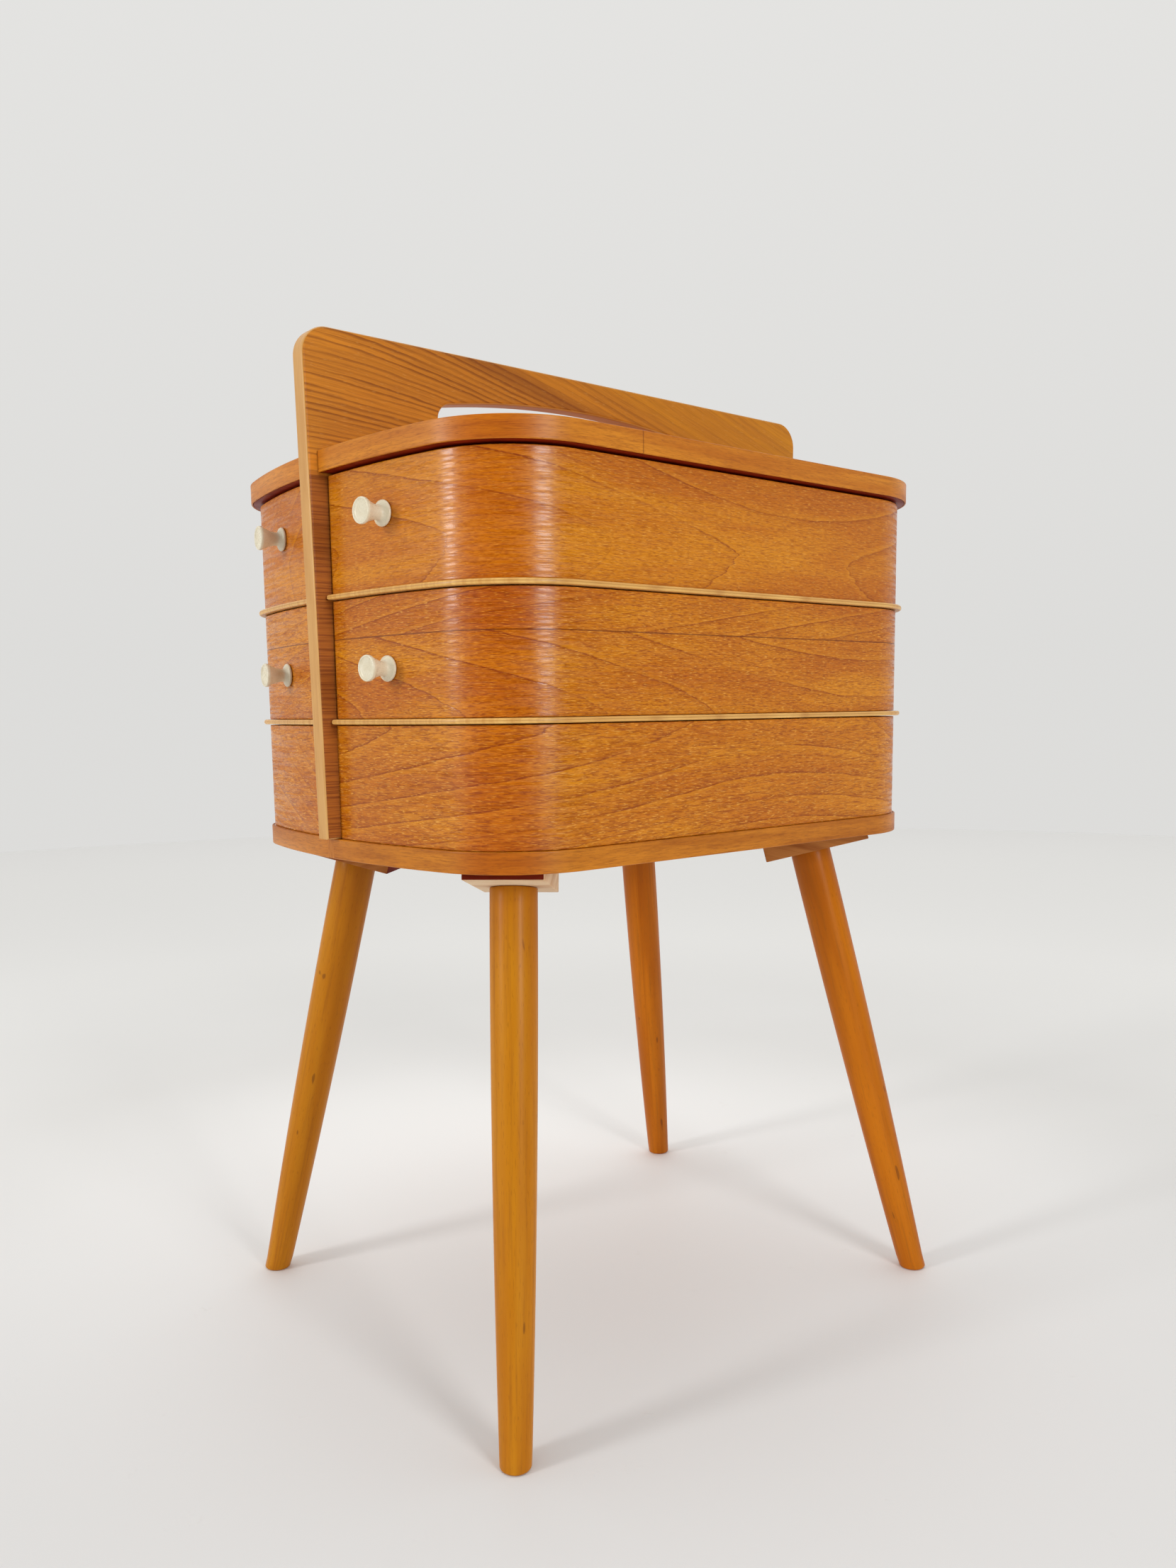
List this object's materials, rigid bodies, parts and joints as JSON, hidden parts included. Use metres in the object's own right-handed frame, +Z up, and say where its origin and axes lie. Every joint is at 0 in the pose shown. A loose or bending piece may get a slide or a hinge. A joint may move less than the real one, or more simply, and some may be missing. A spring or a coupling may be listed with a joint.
{
  "type": "sewing cabinet with swing-out trays",
  "caption": "Standing sewing box: a tall middle panel with a hand slot between stacked swing-out trays with rounded corners, under fixed lids, on splayed tapered round legs.",
  "frame": {"origin": "on the floor, midway between the outermost points of the feet, 8.4 mm behind the middle panel's middle plane", "axes": "+X along the middle panel, with the knobs at the -X end; -Y is the front; +Z is up"},
  "size_m": [0.5531, 0.4364, 0.827],
  "materials": {
    "veneer": "satin lacquered honey-orange veneer, horizontal grain",
    "panel_wood": "satin lacquered solid board with strong striped grain",
    "edging": "satin lacquered veneer edging",
    "plywood": "satin lacquered thin plywood",
    "beech": "satin lacquered beech, turned",
    "block_wood": "stained wood, partly bare",
    "knob_plastic": "glossy cream plastic",
    "steel": "bright steel"
  },
  "bodies": {
    "root": {"base_board": "veneer", "base_edging": "edging", "center_panel": "panel_wood", "panel_screw_1": "steel", "panel_screw_2": "steel", "lid_dowel_1": "beech", "lid_dowel_2": "beech", "front_lid": "veneer", "front_lid_edging": "edging", "front_bottom_wall": "veneer", "front_bottom_inner_wall": "plywood", "front_spacer_tube": "steel", "front_pivot_rod": "steel", "front_washer": "steel", "rear_lid": "veneer", "rear_lid_edging": "edging", "rear_bottom_wall": "veneer", "rear_bottom_inner_wall": "plywood", "rear_spacer_tube": "steel", "rear_pivot_rod": "steel", "rear_washer": "steel", "front_left_leg_block": "block_wood", "front_left_leg": "beech", "front_left_leg_bolt": "steel", "front_right_leg_block": "block_wood", "front_right_leg": "beech", "front_right_leg_bolt": "steel", "rear_left_leg_block": "block_wood", "rear_left_leg": "beech", "rear_left_leg_bolt": "steel", "rear_right_leg_block": "block_wood", "rear_right_leg": "beech", "rear_right_leg_bolt": "steel"},
    "front_upper_tray": {"front_upper_bottom": "plywood", "front_upper_wall": "veneer", "front_upper_inner_wall": "plywood", "front_upper_pivot_block": "beech", "front_upper_knob": "knob_plastic", "front_upper_knob_screw": "steel", "front_upper_divider": "plywood"},
    "front_middle_tray": {"front_middle_bottom": "plywood", "front_middle_wall": "veneer", "front_middle_inner_wall": "plywood", "front_middle_pivot_block": "beech", "front_middle_knob": "knob_plastic", "front_middle_knob_screw": "steel"},
    "rear_upper_tray": {"rear_upper_bottom": "plywood", "rear_upper_wall": "veneer", "rear_upper_inner_wall": "plywood", "rear_upper_pivot_block": "beech", "rear_upper_knob": "knob_plastic", "rear_upper_knob_screw": "steel", "rear_upper_divider": "plywood"},
    "rear_middle_tray": {"rear_middle_bottom": "plywood", "rear_middle_wall": "veneer", "rear_middle_inner_wall": "plywood", "rear_middle_pivot_block": "beech", "rear_middle_knob": "knob_plastic", "rear_middle_knob_screw": "steel"}
  },
  "joints": [
    {"name": "front_upper_swing", "type": "hinge", "parent": "root", "child": "front_upper_tray", "pos_m": [0.2442, -0.0384, 0.674], "axis": [0, 0, 1], "range_deg": [0, 90]},
    {"name": "front_middle_swing", "type": "hinge", "parent": "root", "child": "front_middle_tray", "pos_m": [0.2442, -0.0384, 0.58], "axis": [0, 0, 1], "range_deg": [0, 90]},
    {"name": "rear_upper_swing", "type": "hinge", "parent": "root", "child": "rear_upper_tray", "pos_m": [0.2442, 0.0216, 0.674], "axis": [0, 0, -1], "range_deg": [0, 90]},
    {"name": "rear_middle_swing", "type": "hinge", "parent": "root", "child": "rear_middle_tray", "pos_m": [0.2442, 0.0216, 0.58], "axis": [0, 0, -1], "range_deg": [0, 90]}
  ]
}
